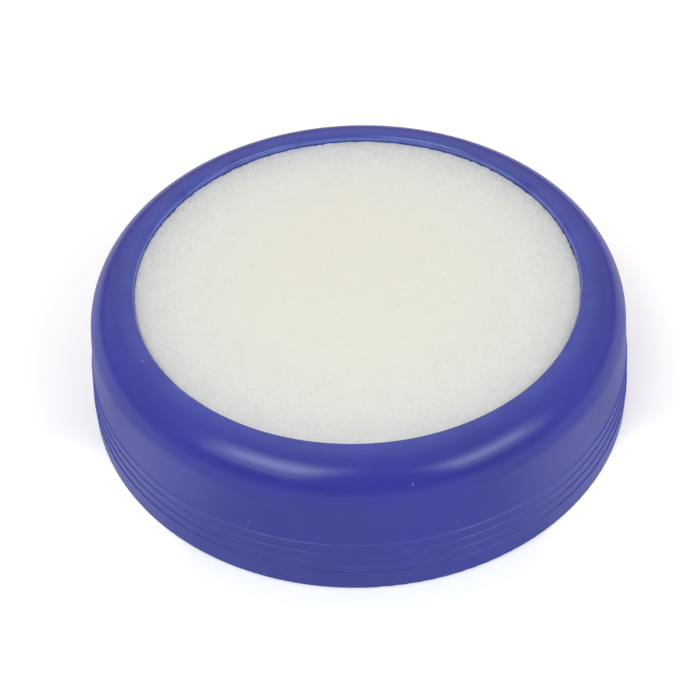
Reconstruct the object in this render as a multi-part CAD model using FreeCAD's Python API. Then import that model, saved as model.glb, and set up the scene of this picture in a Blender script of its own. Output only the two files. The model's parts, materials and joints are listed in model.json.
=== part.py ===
"""Round sponge dish: a damp foam sponge in a dish of two plastic mouldings, in millimetres.

The dish stands on z = 0 about the Z axis. The water cup stands on the table and holds the sponge.
The rim shell drops over the cup, snaps round its flange and traps the sponge's edge under its lip.
Every piece is turned about Z, so each is one outline in the XZ plane.
"""
import FreeCAD
import Part
import math
import os

# Sponge
sponge_diameter = 81.4
sponge_crown = 0.6
sponge_bottom_round = 1.5
sponge_shoulder_round = 3.0
sponge_step_round = 0.3
sponge_clearance = 0.3
neck_clearance = 0.1
crown_edge_drop = 1.45

# Rim shell
overall_height = 24.0
shell_wall = 1.8
skirt_draft = 7.5
bore_draft = 6.0
lip_overlap = 3.15
lip_round = 1.05
lip_edge_round = 0.4
skirt_clearance = 0.15
skirt_edge_round = 0.3

# Stepped rings round the skirt, counted up from the table
ring_count = 4
lowest_ring = 4.0
ring_pitch = 2.05
ring_draft = 2.3
ring_step = 0.15
ring_round = 0.07

# Water cup
cup_wall = 1.6
cup_draft = 1.0
cup_height = 15.5
cup_rim_round = 0.6
cup_corner_round = 1.2
cup_shell_gap = 0.35
floor_thickness = 1.8
floor_underside = 2.7
foot_width = 1.6
foot_round = 0.4
gate_dimple_diameter = 6.0
gate_dimple_depth = 0.5

# Flange and snap
flange_underside = 1.0
flange_thickness = 1.6
flange_round = 0.2
seat_width = 0.9
snap_bead = 0.3
snap_angle = 40.0
snap_clearance = 0.1
lead_in = 0.4

# Radii and heights that follow from the sizes above
skirt_slope = math.tan(math.radians(skirt_draft))
bore_slope = math.tan(math.radians(bore_draft))
ring_slope = math.tan(math.radians(ring_draft))
cup_slope = math.tan(math.radians(cup_draft))
floor_top = floor_underside + floor_thickness
flange_top = flange_underside + flange_thickness
lip_underside = overall_height - shell_wall
sponge_radius = sponge_diameter / 2
opening_radius = sponge_radius - lip_overlap
cup_inner_radius = sponge_radius + sponge_clearance
cup_outer_radius = cup_inner_radius + cup_wall
shell_inner_corner = cup_outer_radius + cup_shell_gap
shell_outer_corner = shell_inner_corner + shell_wall
seat_inner_radius = shell_inner_corner + bore_slope * (overall_height - flange_top)
flange_radius = seat_inner_radius + seat_width
bore_radius = flange_radius + snap_clearance
bead_height = flange_underside + flange_thickness / 2
bead_half_width = snap_bead / math.tan(math.radians(snap_angle))
top_ledge = lowest_ring + (ring_count - 1) * ring_pitch + ring_step
top_ledge_radius = shell_outer_corner + skirt_slope * (overall_height - top_ledge)

# The rim's roundover runs from the skirt to the lip's own rounding
rim_turn = math.radians(90 - skirt_draft)
rim_round = (shell_outer_corner - opening_radius - lip_round) / math.tan(rim_turn / 2)


def point(radius, height):
    """A point of an outline."""
    return FreeCAD.Vector(radius, 0, height)


def rounded_path(corners):
    """Edges through corners of (radius, height, rounding), each rounded by a tangent arc."""
    places = [point(radius, height) for radius, height, rounding in corners]
    edges = []
    last = places[0]
    for i in range(1, len(corners)):
        rounding = corners[i][2]
        if rounding == 0 or i == len(corners) - 1:
            edges.append(Part.makeLine(last, places[i]))
            last = places[i]
            continue
        back = (places[i - 1] - places[i]).normalize()
        ahead = (places[i + 1] - places[i]).normalize()
        half_angle = back.getAngle(ahead) / 2
        setback = rounding / math.tan(half_angle)
        inward = (back + ahead).normalize() * (rounding / math.sin(half_angle) - rounding)
        start = places[i] + back * setback
        end = places[i] + ahead * setback
        if start.distanceToPoint(last) > Part.Precision.confusion():
            edges.append(Part.makeLine(last, start))
        edges.append(Part.Arc(start, places[i] + inward, end).toShape())
        last = end
    return edges


def turned(edges):
    """The solid that a closed outline sweeps about the Z axis."""
    face = Part.Face(Part.Wire(edges))
    return face.revolve(FreeCAD.Vector(0, 0, 0), FreeCAD.Vector(0, 0, 1), 360)


def band_radius(height):
    """The outer radius among the rings, without their steps: the skirt is more upright there."""
    return top_ledge_radius + ring_slope * (top_ledge - height)


def make_rim_shell():
    """The outer moulding: stepped skirt, rounded rim, turned-in lip and snap groove."""
    base_radius = band_radius(skirt_clearance) + ring_count * ring_step
    outside = [
        (bore_radius + lead_in, skirt_clearance, 0),
        (base_radius, skirt_clearance, skirt_edge_round),
    ]
    for i in range(ring_count):
        height = lowest_ring + i * ring_pitch
        ledge = height + ring_step
        below = (ring_count - i) * ring_step
        outside.append((band_radius(height) + below, height, ring_round))
        outside.append((band_radius(ledge) + below - ring_step, ledge, ring_round))
    rim = [
        (shell_outer_corner, overall_height, rim_round),
        (opening_radius, overall_height, lip_round),
        (opening_radius, lip_underside, lip_edge_round),
        (shell_inner_corner + bore_slope * shell_wall, lip_underside, rim_round - shell_wall),
    ]
    groove = bead_half_width + snap_clearance
    seat = [
        (seat_inner_radius, flange_top, 0),
        (bore_radius, flange_top, 0),
        (bore_radius, bead_height + groove, 0),
        (bore_radius + snap_bead, bead_height, 0),
        (bore_radius, bead_height - groove, 0),
        (bore_radius, skirt_clearance + lead_in, 0),
        outside[0],
    ]
    return turned(rounded_path(outside + rim + seat))


def make_water_cup():
    """The inner moulding: floor and wall that hold water, foot ring, flange and snap bead."""
    dimple_radius = gate_dimple_diameter / 2
    foot_inner_radius = cup_outer_radius - foot_width
    wall_rise = cup_height - flange_top
    corners = [
        (0, floor_underside + gate_dimple_depth, 0),
        (dimple_radius, floor_underside + gate_dimple_depth, 0),
        (dimple_radius, floor_underside, 0),
        (foot_inner_radius, floor_underside, foot_round),
        (foot_inner_radius, 0, foot_round),
        (cup_outer_radius, 0, foot_round),
        (cup_outer_radius, flange_underside, foot_round),
        (flange_radius, flange_underside, flange_round),
        (flange_radius, bead_height - bead_half_width, 0),
        (flange_radius + snap_bead, bead_height, 0),
        (flange_radius, bead_height + bead_half_width, 0),
        (flange_radius, flange_top, flange_round),
        (cup_outer_radius, flange_top, foot_round),
        (cup_outer_radius - cup_slope * wall_rise, cup_height, cup_rim_round),
        (cup_inner_radius + cup_slope * (cup_height - floor_top), cup_height, cup_rim_round),
        (cup_inner_radius, floor_top, cup_corner_round),
        (0, floor_top, 0),
        (0, floor_underside + gate_dimple_depth, 0),
    ]
    return turned(rounded_path(corners))


def make_sponge():
    """The foam disc: crowned where the opening bares it, with its edge held down under the lip."""
    shoulder = lip_underside - sponge_clearance
    neck_radius = opening_radius - neck_clearance
    crown_edge = overall_height - crown_edge_drop
    crown_top = crown_edge + sponge_crown
    sides = rounded_path([
        (0, floor_top, 0),
        (sponge_radius, floor_top, sponge_bottom_round),
        (sponge_radius, shoulder, sponge_shoulder_round),
        (neck_radius, shoulder, 0),
        (neck_radius, crown_edge, 0),
    ])
    ball_radius = (neck_radius ** 2 + sponge_crown ** 2) / (2 * sponge_crown)
    half_way = neck_radius / 2
    half_way_height = crown_top - ball_radius + math.sqrt(ball_radius ** 2 - half_way ** 2)
    crown = Part.Arc(
        point(neck_radius, crown_edge),
        point(half_way, half_way_height),
        point(0, crown_top),
    ).toShape()
    axis = Part.makeLine(point(0, crown_top), point(0, floor_top))
    sponge = turned(sides + [crown, axis])
    return rounded_neck(sponge, neck_radius, crown_edge)


def rounded_neck(sponge, radius, height):
    """The sponge with the edge of its crown rounded."""
    rim = [
        edge for edge in sponge.Edges
        if not edge.Degenerated
        and isinstance(edge.Curve, Part.Circle)
        and math.isclose(edge.Curve.Radius, radius)
        and math.isclose(edge.Curve.Center.z, height)
    ]
    return sponge.makeFillet(sponge_step_round, rim)


pieces = {
    "rim_shell": make_rim_shell(),
    "water_cup": make_water_cup(),
    "sponge": make_sponge(),
}

os.makedirs("parts", exist_ok=True)
for name, shape in pieces.items():
    shape.exportStep("parts/" + name + ".step")
    print(name, len(shape.Solids), "solid", round(shape.Volume, 1), "mm3", "valid", shape.isValid())
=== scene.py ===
import collections
import json
import math

import bpy
from mathutils import Matrix, Vector

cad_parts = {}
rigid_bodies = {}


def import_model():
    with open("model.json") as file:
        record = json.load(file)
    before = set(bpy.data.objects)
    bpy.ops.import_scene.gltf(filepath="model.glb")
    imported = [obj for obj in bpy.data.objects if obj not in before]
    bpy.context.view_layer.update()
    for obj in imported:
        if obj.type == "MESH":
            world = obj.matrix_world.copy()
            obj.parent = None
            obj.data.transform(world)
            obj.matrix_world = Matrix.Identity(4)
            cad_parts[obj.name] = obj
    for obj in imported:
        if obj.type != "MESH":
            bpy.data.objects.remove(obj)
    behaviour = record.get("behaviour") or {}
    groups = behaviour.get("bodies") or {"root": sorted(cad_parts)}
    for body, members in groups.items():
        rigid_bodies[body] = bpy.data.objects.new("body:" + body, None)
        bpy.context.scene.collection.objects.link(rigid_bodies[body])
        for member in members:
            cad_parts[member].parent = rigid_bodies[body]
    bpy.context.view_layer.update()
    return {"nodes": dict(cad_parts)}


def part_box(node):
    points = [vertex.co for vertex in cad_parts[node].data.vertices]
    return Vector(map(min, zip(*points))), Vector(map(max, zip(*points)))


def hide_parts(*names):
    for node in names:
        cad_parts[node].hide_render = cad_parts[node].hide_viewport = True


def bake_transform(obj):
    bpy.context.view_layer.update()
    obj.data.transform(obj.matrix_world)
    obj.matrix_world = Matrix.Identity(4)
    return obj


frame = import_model()

# Places on the dish, in metres
SHELL_LOW, SHELL_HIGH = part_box("rim_shell")
CUP_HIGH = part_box("water_cup")[1]
SPONGE_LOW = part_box("sponge")[0]
BASE_RADIUS = SHELL_HIGH.x
BASE_EDGE = SHELL_LOW.z + 0.0002
RIM_TOP = SHELL_HIGH.z
LIP_RADIUS = 0.03755
LIP_CREST_RADIUS = LIP_RADIUS + 0.0006
LIP_BEND_RADIUS = LIP_RADIUS + 0.00012
LIP_BEND = RIM_TOP - 0.0008
CUP_RIM_RADIUS = (CUP_HIGH.x + LIP_RADIUS) / 2
SPONGE_SHOULDER = RIM_TOP - 0.0021
RING_COUNT = 4
LOWEST_RING = 0.004
RING_PITCH = 0.00205
RING_STEP = 0.00015
BAND_SLOPE = math.tan(math.radians(2.3))

# Foam surface, in metres
FOAM_VOXEL = 0.00027
MERGE_GAP = 1e-6
SWELL_SIZE = 0.011
SWELL_HEIGHT = 0.00022
SWELL_MIDDLE = 0.5
CELL_SIZES = (0.0012, 0.00065)
CELL_DEPTHS = (0.00009, 0.00007)
CELL_MIDDLE = 0.6
TORN_EDGE_SIZE = 0.0009
TORN_EDGE_HEIGHT = 0.0003
TORN_EDGE_REACH = 0.0009
TORN_EDGE_MIDDLE = 0.5
LIP_CLEARANCE = 0.00002
NECK_REACH = 0.001
NECK_SPREAD = 0.00014
CORNER_REACH = 0.0006
CORNER_TOP = RIM_TOP - 0.0013
CORNER_LOW = SPONGE_SHOULDER + 0.0003
CORNER_SHARE = 0.85

# Camera, as the photograph was taken
CAMERA_DISTANCE = 0.2375
CAMERA_ELEVATION = math.radians(46.63)
CAMERA_YAW = math.radians(-0.39)
CAMERA_PITCH = math.radians(0.80)
CAMERA_ROLL = math.radians(-1.81)
SENSOR_WIDTH = 36.0
LENS = 67.23
CLIP_START = 0.01

# Studio
FLOOR_RADIUS = 3.0
FLOOR_SIDES = 96
BACKDROP_HEIGHT = 0.5
BACKDROP_ROUND = 0.35
BACKDROP_SEGMENTS = 16
LEVEL_NORMAL = 0.5
FLOOR_COLOUR = (0.83, 0.825, 0.81, 1.0)
FLOOR_ROUGHNESS = 0.9
FLOOR_LIFT = 0.3
FLOOR_LIFT_RADII = (0.15, 0.6)
# Two painted pools of light on the floor, mirrored to the left and right of the dish
PAINTED_POOL_PLACE = (0.052, -0.038, 0.0)
PAINTED_POOL_RADII = (0.0065, 0.026)
PAINTED_POOL_LIFT = 0.62
SKY_COLOUR = (0.83, 0.756, 0.735, 1.0)
SKY_SHADE_COLOUR = (0.24, 0.12, 0.12, 1.0)
SKY_BRIGHT_WAY = (0.0, 0.7, 0.5)
SKY_RANGE = (-0.3, 0.8)
SOFTBOX_COLOUR = (0.84, 0.97, 0.88)
CORE_COLOUR = (0.84, 1.05, 1.2)
FILL_COLOUR = (0.7, 1.0, 1.35)
SOFTBOX_DISTANCE = 0.9

# Colours, as linear values
WHITE = (1.0, 1.0, 1.0, 1.0)
PLASTIC_BLUE = (0.032, 0.039, 0.292, 1.0)
# Pale blue of worn edges and of painted highlights along the lip, the ledges and the foot
WEAR_AND_HIGHLIGHT_BLUE = (0.18, 0.25, 0.64, 1.0)
DUST = (0.5, 0.53, 0.66, 1.0)
FOAM_CENTRE = (0.79, 0.775, 0.685, 1.0)
FOAM_EDGE = (0.758, 0.755, 0.71, 1.0)
FOAM_RIM = (0.672, 0.68, 0.672, 1.0)
# Greyer foam for random mottling, and painted shade in the pores
FOAM_MOTTLE_AND_PORE_SHADE = (0.56, 0.55, 0.515, 1.0)
# Painted shade of the lip on the foam's edge, with the blue of light bounced from the lip
FOAM_SHADE = (0.5, 0.52, 0.57, 1.0)
FOAM_SPECK = (0.42, 0.42, 0.43, 1.0)
FOAM_GLINT = (0.95, 0.94, 0.92, 1.0)

# Plastic: how many features of each pattern a metre holds
CLOUDS_PER_METRE = 55.0
HAIRLINES_PER_METRE = 2400.0
MOTES_PER_METRE = 210.0
GRAINS_PER_METRE = 1500.0
EDGE_PATCHES_PER_METRE = 170.0

# Plastic: the values that each pattern is read between, and what they become
HAIRLINE_STRETCH = (3.0, 3.0, 0.0)
HAIRLINE_RANGE = (0.52, 0.75)
MOTE_RANGE = (0.022, 0.05)
EDGE_PATCH_RANGE = (0.3, 0.62)
EDGE_PATCH_SHARES = (0.55, 1.0)
CLOUD_RANGE = (0.3, 0.7)
CLOUD_SHINE = (0.02, -0.03)
CLOUD_ROUGHNESS = (0.38, 0.5)
CLOUD_DEEP = 0.92
CLOUD_LIGHT = 1.1
GLOSS_HEIGHTS = (RIM_TOP - 0.005, RIM_TOP - 0.0018)

# Plastic: how much hairlines, dust, and the wear and painted highlights on edges change it
HAIRLINE_DULLS = 0.05
HAIRLINE_RELIEF = 0.4
DUST_COLOURS = 0.3
DUST_DULLS = 0.4
DUST_RELIEF = 6.0
WEAR_AND_HIGHLIGHT_ROUGHENS = 0.3
PLASTIC_RELIEF = 0.35
PLASTIC_RELIEF_HEIGHT = 0.000008
COAT_ROUGHNESS = 0.2
COAT_IOR = 1.7

# Plastic: the wear and painted highlight on the ledges of the rings, more on each ledge further up
RING_WEAR_AND_HIGHLIGHT_REACH = 0.00022
RING_WEAR_AND_HIGHLIGHT = 0.12
RING_WEAR_AND_HIGHLIGHT_RISE = 0.03
RING_POLISH = 0.1

# Foam: how many features of each pattern a metre holds
BLOTCHES_PER_METRE = 480.0
MOTTLES_PER_METRE = 1150.0
CELLS_PER_METRE = 1500.0
FINE_CELLS_PER_METRE = 2700.0
OPEN_PATCHES_PER_METRE = 420.0
SPECKS_PER_METRE = 1900.0
STRANDS_PER_METRE = 380.0

# Foam: the radii and the stretches from front to back between which it changes, in metres
EDGE_RADII = (0.012, LIP_RADIUS)
RIM_RADII = (LIP_RADIUS - 0.0075, LIP_RADIUS)
SHADE_RADII = (LIP_RADIUS - 0.0022, LIP_RADIUS - 0.0002)
SHADE_STRETCH = (-0.03, -0.005)
MOTTLE_RADII = (0.02, LIP_RADIUS)
SPECK_RADII = (0.026, LIP_RADIUS - 0.001)
SPECK_STRETCH = (-0.03, 0.03)

# Foam: the values that each pattern is read between, and what they become
BLOTCH_RANGE = (0.3, 0.7)
BLOTCHED_RIM = (0.7, 1.3)
BLOTCHED_SHADE = (0.5, 1.3)
SHADE_SHARES = (0.0, 0.4)
SHADE_SIDE_SHARES = (0.1, 1.0)
MOTTLE_RANGE = (0.25, 0.75)
MOTTLE_SHARES = (0.03, 0.2)
PIT_RANGE = (0.12, 0.42)
FINE_PIT_RANGE = (0.1, 0.4)
OPEN_RANGE = (0.35, 0.7)
PORE_SHADE_SHARES = (0.12, 0.4)
PORE_ROUGHNESS = (0.9, 1.0)
SPECK_RANGE = (0.5, 0.68)
SPECK_SHARES = (0.0, 0.48)
SPECK_SIDE_SHARES = (0.25, 1.0)
GLINT_RANGE = (0.03, 0.075)
GLINT_SHARES = (0.55, 0.0)
FINE_CELL_RELIEF = 0.6
FOAM_RELIEF = 0.3
FOAM_RELIEF_HEIGHT = 0.0001
FOAM_SPECULAR = 0.2

# Ranges that patterns are carried to
RISING = (0.0, 1.0)
FALLING = (1.0, 0.0)

Edge = collections.namedtuple("Edge", "radius height reach wear polish")


def feed(tree, socket, value):
    """Links an input from another node's socket, or sets it to a plain value."""
    if isinstance(value, bpy.types.NodeSocket):
        tree.links.new(value, socket)
    else:
        socket.default_value = value


def add_node(tree, kind, inputs=None, **settings):
    """A shader node with its settings and inputs."""
    made = tree.nodes.new(kind)
    for name, value in settings.items():
        setattr(made, name, value)
    for name, value in (inputs or {}).items():
        feed(tree, made.inputs[name], value)
    return made


def calculate(tree, operation, first, second=0.0):
    """The result of a Math node."""
    return add_node(tree, "ShaderNodeMath", {0: first, 1: second}, operation=operation).outputs[0]


def ramp(tree, value, ends, results=RISING, smooth=True):
    """A value carried from one range to another and held at its ends."""
    return add_node(tree, "ShaderNodeMapRange", {
        "Value": value,
        "From Min": ends[0],
        "From Max": ends[1],
        "To Min": results[0],
        "To Max": results[1],
    }, interpolation_type="SMOOTHSTEP" if smooth else "LINEAR").outputs["Result"]


def mixed(tree, share, first, second):
    """A colour between two others."""
    mix = add_node(tree, "ShaderNodeMix", data_type="RGBA")
    for socket, value in zip((mix.inputs[0], mix.inputs[6], mix.inputs[7]), (share, first, second)):
        feed(tree, socket, value)
    return mix.outputs[2]


def noise(tree, place, scale, detail=2.0, roughness=0.5):
    """The value of a noise texture with this many features in a metre."""
    return add_node(tree, "ShaderNodeTexNoise", {
        "Vector": place,
        "Scale": scale,
        "Detail": detail,
        "Roughness": roughness,
    }).outputs["Fac"]


def cell_distance(tree, place, scale):
    """The distance to the nearest of the points strewn over the surface."""
    return add_node(tree, "ShaderNodeTexVoronoi", {"Vector": place, "Scale": scale}).outputs["Distance"]


def along(tree, place, axis):
    """One coordinate of a place."""
    return add_node(tree, "ShaderNodeSeparateXYZ", {"Vector": place}).outputs[axis]


def level(tree, place):
    """A place brought down to the table."""
    return add_node(tree, "ShaderNodeCombineXYZ", {
        "X": along(tree, place, "X"),
        "Y": along(tree, place, "Y"),
    }).outputs["Vector"]


def length(tree, vector):
    """The length of a vector."""
    return add_node(tree, "ShaderNodeVectorMath", {0: vector}, operation="LENGTH").outputs["Value"]


def from_axis(tree, place):
    """The distance from the dish's axis."""
    return length(tree, level(tree, place))


def new_group(name, inputs, outputs):
    """An empty shader node group with its sockets, and its two end nodes."""
    group = bpy.data.node_groups.new(name, "ShaderNodeTree")
    for label, kind in inputs.items():
        group.interface.new_socket(label, in_out="INPUT", socket_type=kind)
    for label, kind in outputs.items():
        group.interface.new_socket(label, in_out="OUTPUT", socket_type=kind)
    return group, group.nodes.new("NodeGroupInput"), group.nodes.new("NodeGroupOutput")


def placed_group(tree, group, inputs):
    """The outputs of a node group placed in a material with its own values."""
    return add_node(tree, "ShaderNodeGroup", inputs, node_tree=group).outputs


def edge_wear_and_highlight_group():
    """A mask that is 1 along one edge turned about the axis and fades out in patches beside it."""
    group, start, end = new_group("edge_wear_and_highlight", {
        "Position": "NodeSocketVector",
        "Edge Radius": "NodeSocketFloat",
        "Edge Height": "NodeSocketFloat",
        "Reach": "NodeSocketFloat",
    }, {"Wear And Highlight": "NodeSocketFloat"})
    place = start.outputs["Position"]
    away = add_node(group, "ShaderNodeCombineXYZ", {
        "X": calculate(group, "SUBTRACT", from_axis(group, place), start.outputs["Edge Radius"]),
        "Y": calculate(group, "SUBTRACT", along(group, place, "Z"), start.outputs["Edge Height"]),
    }).outputs["Vector"]
    near = ramp(group, length(group, away), (0.0, start.outputs["Reach"]), FALLING)
    patches = noise(group, place, EDGE_PATCHES_PER_METRE, detail=3.0)
    patches = ramp(group, patches, EDGE_PATCH_RANGE, EDGE_PATCH_SHARES)
    group.links.new(calculate(group, "MULTIPLY", near, patches), end.inputs["Wear And Highlight"])
    return group


def moulded_skin_group():
    """What moulded plastic shows up close: clouding, hairlines round the axis, dust and fine grain."""
    group, start, end = new_group("moulded_skin", {"Position": "NodeSocketVector"}, {
        "Clouding": "NodeSocketFloat",
        "Hairlines": "NodeSocketFloat",
        "Dust": "NodeSocketFloat",
        "Grain": "NodeSocketFloat",
    })
    place = start.outputs["Position"]
    clouds = noise(group, place, CLOUDS_PER_METRE, detail=4.0, roughness=0.6)
    hairlines = ramp(group, noise(group, lathe_place(group, place), 1.0), HAIRLINE_RANGE)
    dust = ramp(group, cell_distance(group, place, MOTES_PER_METRE), MOTE_RANGE, FALLING)
    grain = noise(group, place, GRAINS_PER_METRE, detail=3.0)
    group.links.new(clouds, end.inputs["Clouding"])
    group.links.new(hairlines, end.inputs["Hairlines"])
    group.links.new(dust, end.inputs["Dust"])
    group.links.new(grain, end.inputs["Grain"])
    return group


def lathe_place(tree, place):
    """A place that changes slowly round the axis and fast across it, as marks from a lathe do."""
    outward = add_node(tree, "ShaderNodeVectorMath", {0: level(tree, place)}, operation="NORMALIZE")
    around = add_node(tree, "ShaderNodeVectorMath", {
        0: outward.outputs["Vector"],
        1: HAIRLINE_STRETCH,
    }, operation="MULTIPLY")
    across = calculate(tree, "ADD", from_axis(tree, place), along(tree, place, "Z"))
    across = calculate(tree, "MULTIPLY", across, HAIRLINES_PER_METRE)
    return add_node(tree, "ShaderNodeVectorMath", {
        0: around.outputs["Vector"],
        1: add_node(tree, "ShaderNodeCombineXYZ", {"Z": across}).outputs["Vector"],
    }, operation="ADD").outputs["Vector"]


def new_material(name):
    """An empty node material, its tree and the piece's own coordinates."""
    material = bpy.data.materials.new(name)
    material.use_nodes = True
    tree = material.node_tree
    tree.nodes.clear()
    return material, tree, add_node(tree, "ShaderNodeTexCoord").outputs["Object"]


def shaded(colour, share):
    """A colour made darker or lighter."""
    return tuple(share * part for part in colour[:3]) + (1.0,)


def edge_wear_and_highlights(tree, place, edge_group, edges):
    """How far the edges are made pale, by wear and by painted highlights, and how much shine rubbing
    gives them.
    """
    wear_and_highlight_amount = 0.0
    polished = 0.0
    for edge in edges:
        mask = placed_group(tree, edge_group, {
            "Position": place,
            "Edge Radius": edge.radius,
            "Edge Height": edge.height,
            "Reach": edge.reach,
        })["Wear And Highlight"]
        wear_and_highlight_amount = calculate(tree, "MAXIMUM", calculate(tree, "MULTIPLY", mask, edge.wear), wear_and_highlight_amount)
        polished = calculate(tree, "ADD", calculate(tree, "MULTIPLY", mask, edge.polish), polished)
    return wear_and_highlight_amount, polished


def plastic_shine(tree, skin, height, polished, dull, gloss):
    """The weight of the plastic's clear skin: glossy above, where hands polish it, and dull below."""
    shine = ramp(tree, height, GLOSS_HEIGHTS, (dull, gloss))
    shine = calculate(tree, "ADD", shine, ramp(tree, skin["Clouding"], CLOUD_RANGE, CLOUD_SHINE))
    scratched = calculate(tree, "MULTIPLY", skin["Hairlines"], HAIRLINE_DULLS)
    shine = calculate(tree, "SUBTRACT", shine, scratched)
    shine = calculate(tree, "ADD", shine, polished)
    return calculate(tree, "SUBTRACT", shine, calculate(tree, "MULTIPLY", skin["Dust"], DUST_DULLS))


def plastic_relief(tree, skin):
    """The grain, hairlines and dust that stand out from the plastic."""
    relief = calculate(tree, "MULTIPLY", skin["Hairlines"], HAIRLINE_RELIEF)
    relief = calculate(tree, "ADD", skin["Grain"], relief)
    relief = calculate(tree, "ADD", relief, calculate(tree, "MULTIPLY", skin["Dust"], DUST_RELIEF))
    return add_node(tree, "ShaderNodeBump", {
        "Height": relief,
        "Strength": PLASTIC_RELIEF,
        "Distance": PLASTIC_RELIEF_HEIGHT,
    }).outputs["Normal"]


def moulded_plastic(name, skin_group, edge_group, dull, gloss, edges):
    """Blue moulded plastic, clouded and dusty, with pale edges from wear and from painted highlights.
    """
    material, tree, place = new_material(name)
    skin = placed_group(tree, skin_group, {"Position": place})
    wear_and_highlight_amount, polished = edge_wear_and_highlights(tree, place, edge_group, edges)
    clouded = mixed(
        tree, ramp(tree, skin["Clouding"], CLOUD_RANGE),
        shaded(PLASTIC_BLUE, CLOUD_DEEP), shaded(PLASTIC_BLUE, CLOUD_LIGHT))
    # Paled towards blue by wear and by painted highlights
    wear_and_painted_light = mixed(tree, wear_and_highlight_amount, clouded, WEAR_AND_HIGHLIGHT_BLUE)
    dusty = mixed(tree, calculate(tree, "MULTIPLY", skin["Dust"], DUST_COLOURS), wear_and_painted_light, DUST)
    rough = ramp(tree, skin["Clouding"], CLOUD_RANGE, CLOUD_ROUGHNESS)
    rough = calculate(tree, "ADD", rough, calculate(tree, "MULTIPLY", wear_and_highlight_amount, WEAR_AND_HIGHLIGHT_ROUGHENS))
    plastic = add_node(tree, "ShaderNodeBsdfPrincipled", {
        "Base Color": dusty,
        "Roughness": rough,
        "Specular IOR Level": 0.0,
        "Coat Weight": plastic_shine(tree, skin, along(tree, place, "Z"), polished, dull, gloss),
        "Coat Roughness": COAT_ROUGHNESS,
        "Coat IOR": COAT_IOR,
        "Normal": plastic_relief(tree, skin),
    })
    add_node(tree, "ShaderNodeOutputMaterial", {"Surface": plastic.outputs["BSDF"]})
    return material


def foam_skin(tree, place, radius, side):
    """The foam's colour: cream in the middle, greyer and blotchier out to its edge, where painted shade
    of the lip falls.
    """
    blotches = noise(tree, place, BLOTCHES_PER_METRE, detail=3.0, roughness=0.6)
    blotches = ramp(tree, blotches, BLOTCH_RANGE)
    skin = mixed(tree, ramp(tree, radius, EDGE_RADII), FOAM_CENTRE, FOAM_EDGE)
    blotched = ramp(tree, blotches, RISING, BLOTCHED_RIM, smooth=False)
    rim = calculate(tree, "MULTIPLY", ramp(tree, radius, RIM_RADII), blotched)
    skin = mixed(tree, rim, skin, FOAM_RIM)
    # Painted shade and blue bounce light from the lip, within about 2 mm of it, weaker towards the
    # front
    shade = ramp(tree, radius, SHADE_RADII, SHADE_SHARES)
    shade = calculate(tree, "MULTIPLY", shade, ramp(tree, side, SHADE_STRETCH, SHADE_SIDE_SHARES))
    blotched = ramp(tree, blotches, RISING, BLOTCHED_SHADE, smooth=False)
    skin = mixed(tree, calculate(tree, "MULTIPLY", shade, blotched), skin, FOAM_SHADE)
    mottle = ramp(tree, noise(tree, place, MOTTLES_PER_METRE, detail=3.0, roughness=0.7), MOTTLE_RANGE)
    mottle = calculate(tree, "MULTIPLY", mottle, ramp(tree, radius, MOTTLE_RADII, MOTTLE_SHARES))
    return mixed(tree, mottle, skin, FOAM_MOTTLE_AND_PORE_SHADE)


def foam_specks(tree, place, radius, side):
    """How far grey specks cover the foam: more towards its edge and on the far side."""
    specks = ramp(tree, noise(tree, place, SPECKS_PER_METRE, roughness=0.6), SPECK_RANGE)
    # The grey specks are the foam's own; their increase on the far side is painted shade of the foam's
    # relief
    wear_and_painted_light = calculate(
        tree, "MULTIPLY",
        ramp(tree, radius, SPECK_RADII, SPECK_SHARES),
        ramp(tree, side, SPECK_STRETCH, SPECK_SIDE_SHARES))
    return calculate(tree, "MULTIPLY", specks, wear_and_painted_light)


def sponge_foam(name):
    """Cream open-cell foam with pores darkened by painted shade, grey specks and painted glints of
    single strands.
    """
    material, tree, place = new_material(name)
    radius = from_axis(tree, place)
    side = along(tree, place, "Y")
    cells = cell_distance(tree, place, CELLS_PER_METRE)
    fine_cells = cell_distance(tree, place, FINE_CELLS_PER_METRE)
    pits = calculate(
        tree, "MAXIMUM",
        ramp(tree, cells, PIT_RANGE, FALLING),
        ramp(tree, fine_cells, FINE_PIT_RANGE, FALLING))
    opened = ramp(tree, noise(tree, place, OPEN_PATCHES_PER_METRE), OPEN_RANGE)
    # Painted shade in the pores, stronger towards the edge
    pores = calculate(tree, "MULTIPLY", pits, opened)
    pore_shade_share = ramp(tree, ramp(tree, radius, EDGE_RADII), RISING, PORE_SHADE_SHARES)
    colour = foam_skin(tree, place, radius, side)
    colour = mixed(tree, calculate(tree, "MULTIPLY", pores, pore_shade_share), colour, FOAM_MOTTLE_AND_PORE_SHADE)
    colour = mixed(tree, foam_specks(tree, place, radius, side), colour, FOAM_SPECK)
    # Painted glints: pale dots standing for single strands catching the light
    glints = ramp(tree, cell_distance(tree, place, STRANDS_PER_METRE), GLINT_RANGE, GLINT_SHARES)
    colour = mixed(tree, glints, colour, FOAM_GLINT)
    fine_relief = calculate(tree, "MULTIPLY", fine_cells, FINE_CELL_RELIEF)
    bump = add_node(tree, "ShaderNodeBump", {
        "Height": calculate(tree, "ADD", cells, fine_relief),
        "Strength": FOAM_RELIEF,
        "Distance": FOAM_RELIEF_HEIGHT,
    })
    foam = add_node(tree, "ShaderNodeBsdfPrincipled", {
        "Base Color": colour,
        "Roughness": ramp(tree, pores, RISING, PORE_ROUGHNESS),
        "Specular IOR Level": FOAM_SPECULAR,
        "Normal": bump.outputs["Normal"],
    })
    add_node(tree, "ShaderNodeOutputMaterial", {"Surface": foam.outputs["BSDF"]})
    return material


def deselect_all():
    """Deselects every object."""
    for other in bpy.context.view_layer.objects:
        other.select_set(False)


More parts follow.
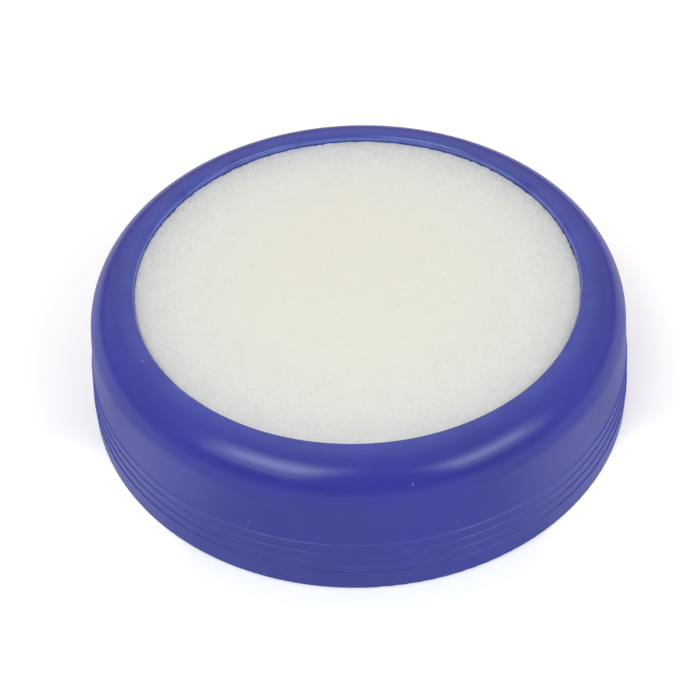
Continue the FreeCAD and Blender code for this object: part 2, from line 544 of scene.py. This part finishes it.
def only_select(piece):
    """Selects this piece alone and makes it active."""
    deselect_all()
    piece.select_set(True)
    bpy.context.view_layer.objects.active = piece


def select_faces(piece, wanted):
    """Enters edit mode with the faces selected whose centre and normal are wanted."""
    only_select(piece)
    bpy.ops.object.mode_set(mode="EDIT")
    bpy.ops.mesh.select_all(action="DESELECT")
    bpy.ops.mesh.select_mode(type="FACE")
    bpy.ops.object.mode_set(mode="OBJECT")
    for face in piece.data.polygons:
        face.select = wanted(face.center, face.normal)
    bpy.ops.object.mode_set(mode="EDIT")


def apply_modifier(piece, kind, **settings):
    """Adds a modifier and applies it."""
    modifier = piece.modifiers.new(kind.title(), kind)
    for name, value in settings.items():
        setattr(modifier, name, value)
    only_select(piece)
    bpy.ops.object.modifier_apply(modifier=modifier.name)


def displace(piece, kind, size, height, middle, group=""):
    """Pushes the surface in and out by a noise of this size, all over or in one vertex group."""
    pattern = bpy.data.textures.new(piece.name + "_" + kind.lower(), kind)
    pattern.noise_scale = size
    apply_modifier(
        piece, "DISPLACE", texture=pattern, strength=height, mid_level=middle, vertex_group=group)


def foam_sponge():
    """The sponge: its skin swells a little, is broken by open cells and presses against the lip."""
    mesh = frame["nodes"]["sponge"].data.copy()
    piece = bpy.data.objects.new("foam_sponge", mesh)
    bpy.context.scene.collection.objects.link(piece)
    only_select(piece)
    bpy.ops.object.mode_set(mode="EDIT")
    bpy.ops.mesh.select_all(action="SELECT")
    bpy.ops.mesh.remove_doubles(threshold=MERGE_GAP)
    bpy.ops.object.mode_set(mode="OBJECT")
    apply_modifier(piece, "REMESH", mode="VOXEL", voxel_size=FOAM_VOXEL, use_smooth_shade=True)
    plain_underside(piece)
    displace(piece, "CLOUDS", SWELL_SIZE, SWELL_HEIGHT, SWELL_MIDDLE)
    for size, depth in zip(CELL_SIZES, CELL_DEPTHS):
        displace(piece, "VORONOI", size, depth, CELL_MIDDLE)
    tear_edge(piece)
    press_to_lip(piece)
    piece.data.materials.clear()
    piece.data.materials.append(sponge_foam("sponge_foam"))
    return piece


def plain_underside(piece):
    """Makes the flat underside, which the cup hides, one face."""
    flat = SPONGE_LOW.z + FOAM_VOXEL / 2
    select_faces(piece, lambda centre, normal: centre.z < flat)
    bpy.ops.mesh.delete(type="FACE")
    bpy.ops.mesh.select_mode(type="EDGE")
    bpy.ops.mesh.select_non_manifold()
    bpy.ops.mesh.edge_face_add()
    bpy.ops.mesh.select_all(action="SELECT")
    bpy.ops.mesh.normals_make_consistent(inside=False)
    bpy.ops.object.mode_set(mode="OBJECT")


def tear_edge(piece):
    """Roughens the cut edge of the sponge's crown, next to the lip."""
    edge = piece.vertex_groups.new(name="crown_edge")
    start = LIP_RADIUS - TORN_EDGE_REACH
    for vertex in piece.data.vertices:
        radius = math.hypot(vertex.co.x, vertex.co.y)
        if vertex.co.z > SPONGE_SHOULDER + FOAM_VOXEL and radius > start:
            edge.add([vertex.index], min(1, (radius - start) / (TORN_EDGE_REACH / 2)), "REPLACE")
    displace(piece, "CLOUDS", TORN_EDGE_SIZE, TORN_EDGE_HEIGHT, TORN_EDGE_MIDDLE, edge.name)
    piece.vertex_groups.clear()


def press_to_lip(piece):
    """Spreads the sponge's neck against the lip, inside the opening, and squares its top corner."""
    limit = LIP_RADIUS - LIP_CLEARANCE
    for vertex in piece.data.vertices:
        radius = math.hypot(vertex.co.x, vertex.co.y)
        inside = limit - radius
        if vertex.co.z < SPONGE_SHOULDER + FOAM_VOXEL / 2 or inside > NECK_REACH:
            continue
        share = 1 - max(inside, 0) / NECK_REACH
        spread = min(limit, radius + NECK_SPREAD * share)
        vertex.co.x *= spread / radius
        vertex.co.y *= spread / radius
        corner = max(0, 1 - max(inside, 0) / CORNER_REACH)
        if vertex.co.z > CORNER_LOW:
            vertex.co.z += max(0, CORNER_TOP - vertex.co.z) * corner * CORNER_SHARE


def softbox(name, azimuth, elevation, width, height, radiance, colour=SOFTBOX_COLOUR, mirrored=True):
    """A soft lamp that faces the dish and shows in its reflections if it is mirrored.

    Azimuth 0 is the far side and 90 the right.
    """
    turn = math.radians(azimuth)
    rise = math.radians(elevation)
    direction = Vector((
        math.sin(turn) * math.cos(rise),
        math.cos(turn) * math.cos(rise),
        math.sin(rise),
    ))
    lamp = bpy.data.lights.new(name, "AREA")
    lamp.shape = "RECTANGLE"
    lamp.size = width
    lamp.size_y = height
    lamp.color = colour
    lamp.energy = radiance * math.pi * width * height
    box = bpy.data.objects.new(name, lamp)
    box.location = direction * SOFTBOX_DISTANCE
    box.rotation_mode = "QUATERNION"
    box.rotation_quaternion = direction.to_track_quat("Z", "Y")
    box.visible_camera = False
    box.visible_glossy = mirrored
    bpy.context.scene.collection.objects.link(box)


def pale_floor():
    """A round floor that curves up into a low backdrop."""
    deselect_all()
    bpy.ops.mesh.primitive_cylinder_add(
        vertices=FLOOR_SIDES,
        radius=FLOOR_RADIUS,
        depth=BACKDROP_HEIGHT,
        location=(0, 0, BACKDROP_HEIGHT / 2),
    )
    floor = bpy.context.active_object
    floor.name = "studio_floor"
    bpy.ops.object.transform_apply(location=True)
    select_faces(floor, lambda centre, normal: normal.z > LEVEL_NORMAL)
    bpy.ops.mesh.delete(type="FACE")
    bpy.ops.object.mode_set(mode="OBJECT")
    select_faces(floor, lambda centre, normal: normal.z < -LEVEL_NORMAL)
    bpy.ops.mesh.region_to_loop()
    bpy.ops.mesh.bevel(offset=BACKDROP_ROUND, segments=BACKDROP_SEGMENTS)
    bpy.ops.mesh.select_all(action="SELECT")
    bpy.ops.mesh.normals_make_consistent(inside=True)
    bpy.ops.object.mode_set(mode="OBJECT")
    bpy.ops.object.shade_smooth()
    floor.data.materials.append(floor_paper("pale_floor"))


def floor_paper(name):
    """Pale paper, lifted to white near the dish, where the camera and reflections see it.

    It is brighter still in two painted pools of light, in front of the dish on its left and right.
    """
    material, tree, place = new_material(name)
    path = add_node(tree, "ShaderNodeLightPath").outputs
    seen = calculate(tree, "MAXIMUM", path["Is Camera Ray"], path["Is Glossy Ray"])
    seen = calculate(tree, "MAXIMUM", seen, path["Is Transmission Ray"])
    near = ramp(tree, from_axis(tree, place), FLOOR_LIFT_RADII, (FLOOR_LIFT, 0.0))
    # Painted pools of light, mirrored left and right
    folded = add_node(tree, "ShaderNodeCombineXYZ", {
        "X": calculate(tree, "ABSOLUTE", along(tree, place, "X")),
        "Y": along(tree, place, "Y"),
    }).outputs["Vector"]
    gap = add_node(tree, "ShaderNodeVectorMath", {0: folded, 1: PAINTED_POOL_PLACE}, operation="DISTANCE")
    painted_pool = ramp(tree, gap.outputs["Value"], PAINTED_POOL_RADII, (PAINTED_POOL_LIFT, 0.0))
    lift = calculate(tree, "ADD", near, painted_pool)
    paper = add_node(tree, "ShaderNodeBsdfPrincipled", {
        "Base Color": FLOOR_COLOUR,
        "Roughness": FLOOR_ROUGHNESS,
        "Specular IOR Level": 0.0,
        "Emission Color": WHITE,
        "Emission Strength": calculate(tree, "MULTIPLY", seen, lift),
    })
    add_node(tree, "ShaderNodeOutputMaterial", {"Surface": paper.outputs["BSDF"]})
    return material


def soft_sky():
    """A plain sky, brightest above the far side and dim behind the camera."""
    world = bpy.data.worlds.new("studio_sky")
    world.use_nodes = True
    tree = world.node_tree
    tree.nodes.clear()
    way = add_node(tree, "ShaderNodeTexCoord").outputs["Generated"]
    bright = add_node(tree, "ShaderNodeVectorMath", {
        0: way,
        1: SKY_BRIGHT_WAY,
    }, operation="DOT_PRODUCT").outputs["Value"]
    sky = add_node(tree, "ShaderNodeBackground", {
        "Color": mixed(tree, ramp(tree, bright, SKY_RANGE), SKY_SHADE_COLOUR, SKY_COLOUR),
    })
    add_node(tree, "ShaderNodeOutputWorld", {"Surface": sky.outputs["Background"]})
    bpy.context.scene.world = world


def camera():
    """The camera at the photograph's place, turned by its small yaw, pitch and roll."""
    lens = bpy.data.cameras.new("photo_camera")
    lens.sensor_width = SENSOR_WIDTH
    lens.lens = LENS
    lens.clip_start = CLIP_START
    eye = bpy.data.objects.new("photo_camera", lens)
    bpy.context.scene.collection.objects.link(eye)
    place = Vector((0, -math.cos(CAMERA_ELEVATION), math.sin(CAMERA_ELEVATION))) * CAMERA_DISTANCE
    turn = (
        Matrix.Rotation(math.pi / 2 - CAMERA_ELEVATION, 4, "X")
        @ Matrix.Rotation(-CAMERA_YAW, 4, "Y")
        @ Matrix.Rotation(CAMERA_PITCH, 4, "X")
        @ Matrix.Rotation(CAMERA_ROLL, 4, "Z")
    )
    eye.matrix_world = Matrix.Translation(place) @ turn
    bpy.context.scene.camera = eye


def shell_edges():
    """The shell's lip, base and ledges, with how far each is paled by wear and by painted highlights.
    """
    edges = [
        # Rim top: paler towards the lip, a painted highlight
        Edge(LIP_CREST_RADIUS, RIM_TOP, reach=0.0035, wear=0.17, polish=0.0),
        # Lip's inner rounding: a painted highlight line, and a polish that adds real gloss
        Edge(LIP_BEND_RADIUS, LIP_BEND, reach=0.0007, wear=0.6, polish=0.36),
        Edge(BASE_RADIUS, BASE_EDGE, reach=0.0006, wear=0.14, polish=0.0),
        # Towards the foot: paler, painted light reflected from the floor
        Edge(BASE_RADIUS, SHELL_LOW.z, reach=0.012, wear=0.06, polish=0.0),
    ]
    # Ledges of the rings: wear and a painted highlight line on each
    for i in range(RING_COUNT):
        ledge = LOWEST_RING + i * RING_PITCH
        ledge_radius = BASE_RADIUS - BAND_SLOPE * ledge - i * RING_STEP
        edges.append(Edge(
            ledge_radius - RING_STEP / 2,
            ledge + RING_STEP / 2,
            reach=RING_WEAR_AND_HIGHLIGHT_REACH,
            wear=RING_WEAR_AND_HIGHLIGHT + RING_WEAR_AND_HIGHLIGHT_RISE * i,
            polish=RING_POLISH,
        ))
    return edges


def finish_node(name, material):
    """Gives a CAD node its material."""
    node = frame["nodes"][name]
    node.data.materials.clear()
    node.data.materials.append(material)


bpy.context.scene.view_settings.view_transform = "Standard"
camera()
pale_floor()
soft_sky()
softbox("left_softbox", azimuth=-136, elevation=50, width=0.6, height=0.62, radiance=1.9)
softbox(
    "left_softbox_core", azimuth=-137, elevation=53, width=0.4, height=0.24, radiance=3.2,
    colour=CORE_COLOUR)
softbox("right_softbox", azimuth=126, elevation=40, width=0.62, height=0.5, radiance=1.5)
softbox(
    "right_softbox_core", azimuth=128, elevation=41, width=0.42, height=0.2, radiance=3.0,
    colour=CORE_COLOUR)
for side, azimuth in (("left", -105), ("right", 105)):
    softbox(
        side + "_fill", azimuth, elevation=15, width=0.8, height=0.42, radiance=1.35,
        colour=FILL_COLOUR, mirrored=False)

skin_group = moulded_skin_group()
edge_group = edge_wear_and_highlight_group()
cup_edges = [Edge(CUP_RIM_RADIUS, CUP_HIGH.z, reach=0.0012, wear=0.3, polish=-0.1)]
finish_node("rim_shell", moulded_plastic(
    "shell_plastic", skin_group, edge_group, dull=0.37, gloss=0.52, edges=shell_edges()))
finish_node("water_cup", moulded_plastic(
    "cup_plastic", skin_group, edge_group, dull=0.4, gloss=0.4, edges=cup_edges))

sponge = foam_sponge()
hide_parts("sponge")
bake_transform(sponge)
